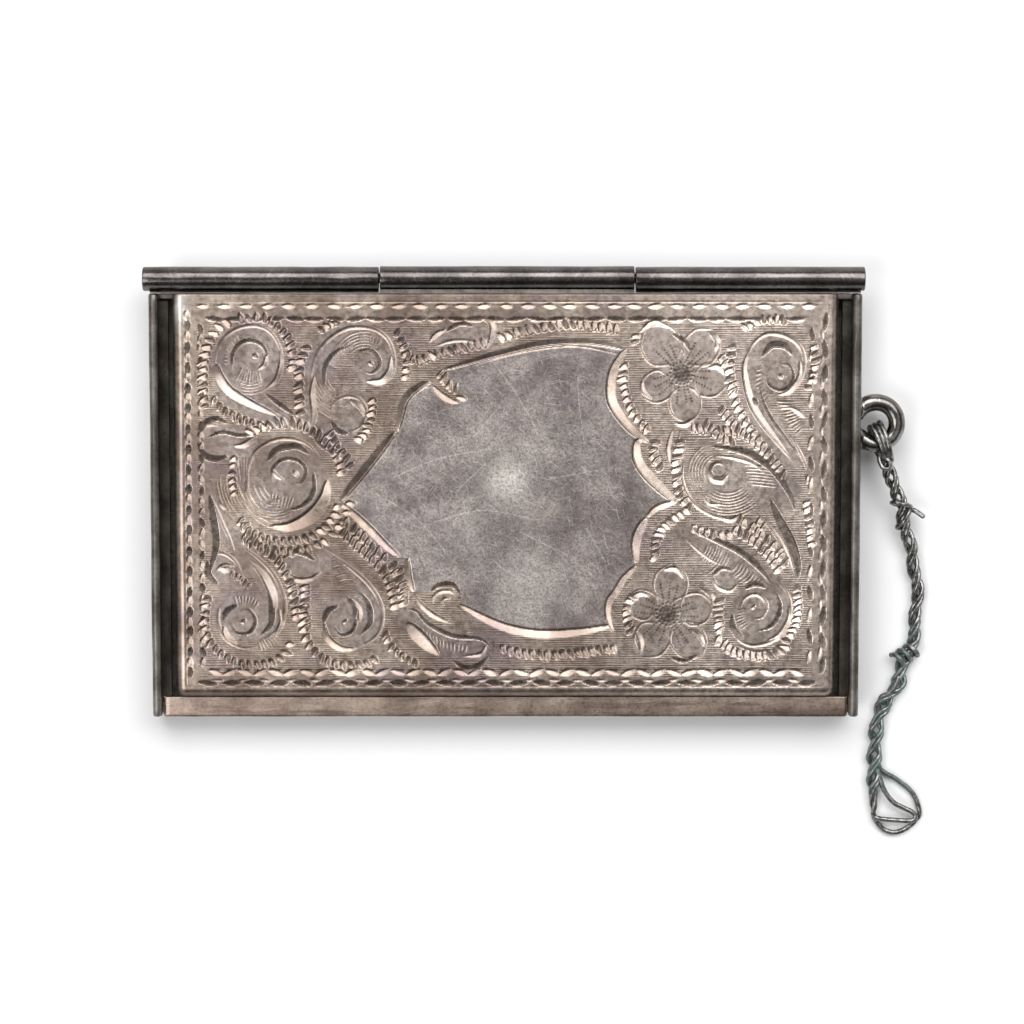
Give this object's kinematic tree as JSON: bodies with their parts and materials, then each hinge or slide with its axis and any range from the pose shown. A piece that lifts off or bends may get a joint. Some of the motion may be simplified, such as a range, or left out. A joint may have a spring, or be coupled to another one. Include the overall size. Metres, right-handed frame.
{
  "type": "business card case",
  "caption": "Flat hinged metal card case with an engraved lid nested between rimmed side walls, a bail ring on one side and a twisted wire tether.",
  "frame": {"origin": "centre of the back plate's underside, the face the closed case lies on", "axes": "+X along the hinge towards the bail ring, +Y towards the hinge, +Z out of the engraved face"},
  "size_m": [0.1065, 0.0788, 0.008],
  "materials": {
    "silver": "worn satin silver with light tarnish",
    "engraved_silver": "hand-engraved silver, warm tarnish in the cuts",
    "dark_silver": "polished by handling, dark tarnish",
    "tether_wire": "dark wire with patches of verdigris"
  },
  "bodies": {
    "tray": {"back_plate": "silver", "wall_left": "dark_silver", "wall_right": "dark_silver", "wall_front": "silver", "wall_rear": "silver", "rim_bead_left": "dark_silver", "rim_bead_right": "dark_silver", "inner_ledge_left": "dark_silver", "inner_ledge_right": "dark_silver", "knuckle_left": "dark_silver", "knuckle_right": "dark_silver", "hinge_pin": "dark_silver", "hinge_bearer_left": "silver", "hinge_bearer_right": "silver", "bail_ring": "dark_silver"},
    "lid": {"lid_panel": "engraved_silver", "thumb_ledge": "engraved_silver", "knuckle_middle": "dark_silver", "hinge_bearer_lid": "silver"},
    "eye": {"tether_eye": "tether_wire"},
    "tether": {"twist_upper": "tether_wire", "wrap_upper": "tether_wire", "stray_wire_end": "tether_wire", "twist_middle": "tether_wire", "wrap_lower": "tether_wire", "twist_lower": "tether_wire", "end_loop": "tether_wire", "end_loop_inner": "tether_wire"}
  },
  "joints": [
    {"name": "lid_hinge", "type": "hinge", "parent": "tray", "child": "lid", "pos_m": [0, 0.03075, 0.0063], "axis": [-1, 0, 0], "range_deg": [0, 180]},
    {"name": "tether_swing", "type": "hinge", "parent": "tray", "child": "eye", "pos_m": [0.0503, 0.0111, 0.0042], "axis": [0, 0, 1], "range_deg": [0, 140]},
    {"name": "tether_lift", "type": "hinge", "parent": "eye", "child": "tether", "pos_m": [0.05109, 0.00836, 0.0042], "axis": [-0.9613, -0.2756, 0], "range_deg": [0, 75]}
  ]
}
